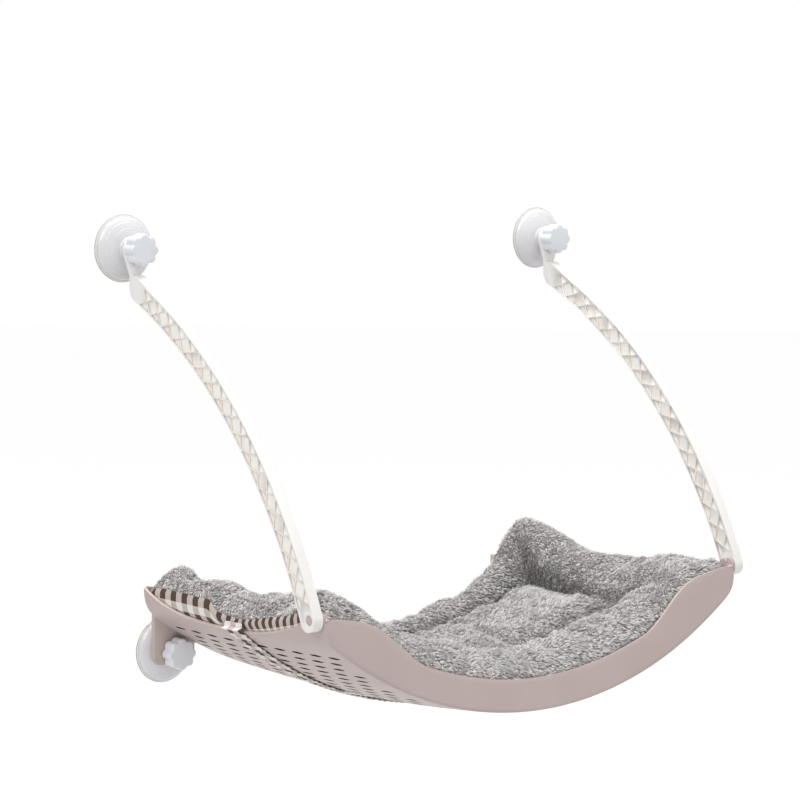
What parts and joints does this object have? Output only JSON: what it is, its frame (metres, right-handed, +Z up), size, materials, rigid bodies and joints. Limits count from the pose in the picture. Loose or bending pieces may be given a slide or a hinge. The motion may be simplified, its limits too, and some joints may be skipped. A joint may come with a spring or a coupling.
{
  "type": "window mounted cat perch",
  "caption": "Hammock-shaped plastic tray with a plush cushion, held to a window pane by suction cups under its back edge and at the tops of two curved lattice arms.",
  "frame": {"origin": "on the window pane, midway between the axes of the two lower suction cups", "axes": "+X along the window to the right as seen from the room, +Y out of the room into the pane, +Z up"},
  "size_m": [0.637, 0.345, 0.505],
  "materials": {
    "tray_plastic": "satin mauve-taupe moulding",
    "arm_plastic": "satin warm white moulding",
    "cap_plastic": "glossy white",
    "knob_plastic": "cool white, half gloss",
    "cup_vinyl": "soft clear vinyl",
    "steel": "zinc plated",
    "brass": "turned",
    "plush": "grey plush pile",
    "gingham": "brown and white gingham elastic"
  },
  "bodies": {
    "perch": {"tray_shell": "tray_plastic", "left_cup_bracket": "tray_plastic", "right_cup_bracket": "tray_plastic", "bracket_screws": "steel", "left_pivot_pin": "tray_plastic", "right_pivot_pin": "tray_plastic", "cushion": "plush", "elastic_strap": "gingham", "left_lower_cup": "cup_vinyl", "right_lower_cup": "cup_vinyl", "left_lower_cap": "cap_plastic", "right_lower_cap": "cap_plastic", "left_lower_stud": "steel", "right_lower_stud": "steel"},
    "left_arm_set": {"left_arm": "arm_plastic", "left_upper_cup": "cup_vinyl", "left_upper_cap": "cap_plastic", "left_upper_stud": "steel"},
    "right_arm_set": {"right_arm": "arm_plastic", "right_upper_cup": "cup_vinyl", "right_upper_cap": "cap_plastic", "right_upper_stud": "steel"},
    "left_upper_nut": {"left_upper_washer": "steel"},
    "right_upper_nut": {"right_upper_washer": "steel"},
    "left_lower_nut": {"left_lower_washer": "steel"},
    "right_lower_nut": {"right_lower_washer": "steel"},
    "left_upper_knob_set": {"left_upper_knob": "knob_plastic", "left_upper_insert": "brass"},
    "right_upper_knob_set": {"right_upper_knob": "knob_plastic", "right_upper_insert": "brass"},
    "left_lower_knob_set": {"left_lower_knob": "knob_plastic", "left_lower_insert": "brass"},
    "right_lower_knob_set": {"right_lower_knob": "knob_plastic", "right_lower_insert": "brass"}
  },
  "joints": [
    {"name": "left_arm_pivot", "type": "hinge", "parent": "perch", "child": "left_arm_set", "pos_m": [-0.2835, -0.3285, 0.086], "axis": [1, 0, 0], "range_deg": [-50, 90]},
    {"name": "right_arm_pivot", "type": "hinge", "parent": "perch", "child": "right_arm_set", "pos_m": [0.2835, -0.3285, 0.086], "axis": [1, 0, 0], "range_deg": [-50, 90]},
    {"name": "left_upper_back_off", "type": "slide", "parent": "left_arm_set", "child": "left_upper_nut", "axis": [0, -1, 0], "range_m": [0, 0.005]},
    {"name": "right_upper_back_off", "type": "slide", "parent": "right_arm_set", "child": "right_upper_nut", "axis": [0, -1, 0], "range_m": [0, 0.005]},
    {"name": "left_lower_back_off", "type": "slide", "parent": "perch", "child": "left_lower_nut", "axis": [0, -1, 0], "range_m": [0, 0.005]},
    {"name": "right_lower_back_off", "type": "slide", "parent": "perch", "child": "right_lower_nut", "axis": [0, -1, 0], "range_m": [0, 0.005]},
    {"name": "left_upper_knob_turn", "type": "hinge", "parent": "left_upper_nut", "child": "left_upper_knob_set", "pos_m": [-0.2835, -0.034, 0.424], "axis": [0, -1, 0], "range_deg": [0, 1440]},
    {"name": "right_upper_knob_turn", "type": "hinge", "parent": "right_upper_nut", "child": "right_upper_knob_set", "pos_m": [0.2835, -0.034, 0.424], "axis": [0, -1, 0], "range_deg": [0, 1440]},
    {"name": "left_lower_knob_turn", "type": "hinge", "parent": "left_lower_nut", "child": "left_lower_knob_set", "pos_m": [-0.233, -0.03, 0], "axis": [0, -1, 0], "range_deg": [0, 1440]},
    {"name": "right_lower_knob_turn", "type": "hinge", "parent": "right_lower_nut", "child": "right_lower_knob_set", "pos_m": [0.233, -0.03, 0], "axis": [0, -1, 0], "range_deg": [0, 1440]}
  ],
  "couplings": [
    {"joint": "left_upper_back_off", "follows": "left_upper_knob_turn", "m_per_rad": 0.00019894},
    {"joint": "right_upper_back_off", "follows": "right_upper_knob_turn", "m_per_rad": 0.00019894},
    {"joint": "left_lower_back_off", "follows": "left_lower_knob_turn", "m_per_rad": 0.00019894},
    {"joint": "right_lower_back_off", "follows": "right_lower_knob_turn", "m_per_rad": 0.00019894}
  ]
}
